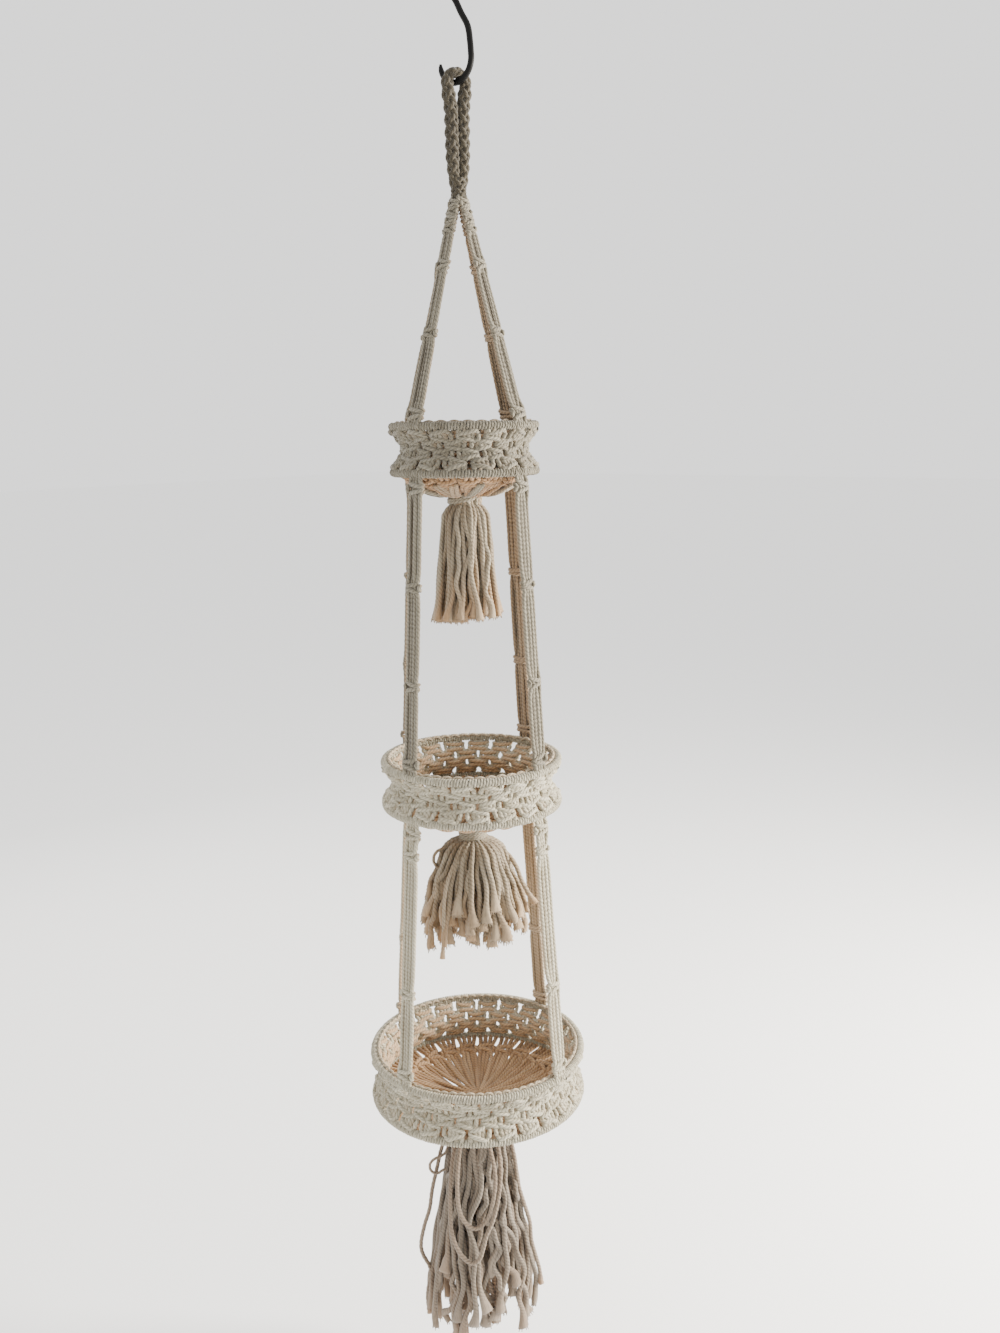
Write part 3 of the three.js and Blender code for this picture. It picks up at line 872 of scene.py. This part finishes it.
strap = {"cord": 0.0028, "lane": 0.006, "lanes": (-1.5, -0.5, 0.5, 1.5), "collarWide": 0.0112,
         "collarHigh": 0.014, "landWide": 0.0128, "landHigh": 0.0175, "landAt": 0.0105, "bow": 0.0005,
         "spacing": 0.0034, "tuck": 0.007, "fillers": (-1, 0, 1), "fillerCord": 0.0021, "insideShade": 0.6,
         "slim": 0.82, "neckOut": 0.0075}
chain = {"knots": 4, "first": 0.004, "step": 0.011, "wide": 0.0098, "high": 0.0125}    # under the neck
levels = [      # name, collars measured from the lower end, width at the top, cotton
    ("upper", (0.4, 0.71), 0.62, "shaded_cotton"),
    ("middle", (0.3, 0.64), 1.0, "shaded_cotton"),
    ("lower", (0.35, 0.89), 1.0, "pale_cotton"),
]


def strapKnots(length, collars, topWidth):      # distance from the top, half width and height of each knot
    knots = [(length * (1 - share), strap["collarWide"], strap["collarHigh"]) for share in collars]
    knots.append((length - strap["landAt"], strap["landWide"], strap["landHigh"]))
    if topWidth < 1:
        marks = chain["first"] + chain["step"] * np.arange(chain["knots"])
        knots += [(mark, chain["wide"], chain["high"]) for mark in marks]
    else:
        knots.append((strap["landAt"], strap["landWide"], strap["landHigh"]))
    return sorted(knots)


def strapLine(lane, knots, length, topWidth):      # one cord as (aside, outward, distance from the top)
    def width(far):
        return topWidth + (1 - topWidth) * far / length
    offset = lane * strap["lane"]
    points = [(offset * 0.8 * width(0), 0, -strap["tuck"])]
    for i, (far, wide, high) in enumerate(knots):
        wide = wide * (0.45 + 0.55 * width(far))
        flip = -1 if i % 2 else 1
        if abs(lane) > 1.2:
            side = math.copysign(1, lane)
            shape = frontCord if side * flip < 0 else rearCord
            for x, y, z in knotShape(shape, wide, high, 0.9):
                points.append((x * flip, y, far - z))
        else:
            points += [(offset * 0.8, 0.0002, far - high * 0.3), (offset * 0.8, 0.0002, far + high * 0.3)]
        if i + 1 == len(knots):
            break
        start, end = far + high / 2, knots[i + 1][0] - knots[i + 1][2] / 2
        if end - start > 0.02:
            aside, outward = chance.normal(0, strap["bow"], 2)
            for part in (0.13, 0.5, 0.87):
                near = start + (end - start) * part
                points.append((offset * width(near) + aside * math.sin(part * math.pi),
                               0.0006 * math.copysign(1, lane) + outward, near))
    points.append((offset * 0.9, 0, length + strap["tuck"]))
    return points


def makeStrap(name, turn, top, bottom, collars, topWidth, cotton):
    bundle = newBundle()
    top, bottom = np.array(top), np.array(bottom)
    length = np.linalg.norm(bottom - top)
    down = (bottom - top) / length
    outward = np.array([-down[2], 0, down[0]])
    knots = strapKnots(length, collars, topWidth)
    cos, sin = math.cos(turn * math.pi / 2), math.sin(turn * math.pi / 2)
    spin = np.array([[cos, -sin, 0], [sin, cos, 0], [0, 0, 1]])
    for lane in strap["lanes"]:
        line = evenly(smooth(strapLine(lane, knots, length, topWidth), 5)[0], strap["spacing"])
        path = top + line[:, :1] * np.array([0, 1, 0]) + line[:, 1:2] * outward + line[:, 2:] * down
        thin = np.interp(line[:, 2], [0, length], [strap["slim"] if topWidth < 1 else 1, 1])
        addCords(bundle, path @ spin.T, strap["cord"] * thin[None], 9, tone=chance.uniform(0.2, 0.7), plies=3)
    far = np.arange(-strap["tuck"], length + strap["tuck"], 2 * strap["spacing"])
    for lane in strap["fillers"]:      # cords that run straight through, in the gaps between the others, painted dark as painted shade in the gaps
        width = topWidth + (1 - topWidth) * far / length
        path = top + (lane * strap["lane"] * width)[:, None] * np.array([0, 1, 0]) + far[:, None] * down
        addCords(bundle, path @ spin.T, strap["fillerCord"], 7, tone=1.5)
    for i, points in enumerate(bundle["points"]):      # painted warm shade on the inner face, as on the walls
        depth = (points @ spin - top) @ outward
        bundle["warmth"][i] = strap["insideShade"] * np.clip(0.3 - depth / strap["cord"], 0, 1)
    return bundleObject(bundle, f"{name}_cords", cotton)


def makeStraps():
    ends = [strap["neckOut"]] + [plan["ring"] for plan in tiers]
    for index, (level, collars, topWidth, cotton) in enumerate(levels):
        for turn in range(4):
            node = f"{level}_strap_{turn + 1}"
            low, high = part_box(node)
            top, bottom = (ends[index], 0, high.z), (ends[index + 1], 0, low.z)
            piece = makeStrap(node, turn, top, bottom, collars, topWidth, cotton)
            side = "right" if turn < 2 else "left"
            body = "tier_1" if index == 0 else f"{side}_straps_{index + 1}"
            place(piece, body, cotton, node)


# the hanging loop and the neck under it

weaving = {"spacing": 0.0022, "weave": 0.32}
loop = {"thickness": 0.007, "eye": 0.013, "turn": -20, "saddleGap": 0.0008, "pairs": 4, "cord": 0.0032,
        "spread": (0.0036, 0.0056, 0.0058, 0.0056, 0.003, 0.0056, 0.0058, 0.0056, 0.0036), "lay": 0.06,
        "fromLow": [(0.0046, -0.005), (0.0068, 0.012), (0.0076, 0.035)],      # one leg, above its foot
        "fromCrown": [(0.008, 0.06), (0.0084, 0.044), (0.0118, 0.025)],      # and below the crown
        **weaving}
neck = {"pairs": 5, "cord": 0.0026, "spread": (0.007, 0.0076, 0.0074, 0.0078, 0.0084), "lay": 0.05,
        "reach": 0.004, **weaving}


def loopPath():
    crown = 2 * hook["wire"] - hook["drop"] + loop["saddleGap"] + loop["thickness"]
    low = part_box("hanging_loop")[0].z
    leg = [(y, low + z) for y, z in loop["fromLow"]] + [(y, crown - z) for y, z in loop["fromCrown"]]
    bend = np.linspace(0, math.pi, 9)
    over = np.stack([loop["eye"] * np.cos(bend), crown - loop["eye"] + loop["eye"] * np.sin(bend)], axis=1)
    line = np.vstack([leg, over, [(-y, z) for y, z in reversed(leg)]])
    turn = math.radians(loop["turn"])
    return np.stack([-line[:, 0] * math.sin(turn), line[:, 0] * math.cos(turn), line[:, 1]], axis=1)


def makeLoop():
    bundle = braid(evenly(smooth(loopPath(), 6)[0], 0.002), loop)
    place(bundleObject(bundle, "braided_loop", "deep_shade_cotton"), "loop", "shaded_cotton", "hanging_loop")


def makeNeck():
    low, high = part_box("neck_knot")
    ends = np.array([(0, 0, high.z + neck["reach"]), (0, 0, low.z - neck["reach"])])
    bundle = braid(evenly(ends, 0.002), neck)
    place(bundleObject(bundle, "braided_neck", "deep_shade_cotton"), "neck", "shaded_cotton", "neck_knot")


# everything, piece by piece

makeCamera()
makeLooseStrands()
makeStudio()
print("camera, lamps and floor in place")
for plan in tiers:
    makeTassel(plan)
print("tassels hung")
makeHook()
makeLoop()
makeNeck()
print("hook, loop and neck made")
makeStraps()
print("twelve straps tied")
for plan in tiers:
    edges = ("top", plan["rim"], 0.6), ("bottom", plan["base"], 3.4)
    for edge, height, seam in edges:
        makeRing(plan, edge, height, seam)
    for edge, height, seam in edges:
        makeHitches(plan, edge, height)
    makeWall(plan)
    makeFloor(plan)
    makeWrap(plan)
    print(plan["name"], "knotted")
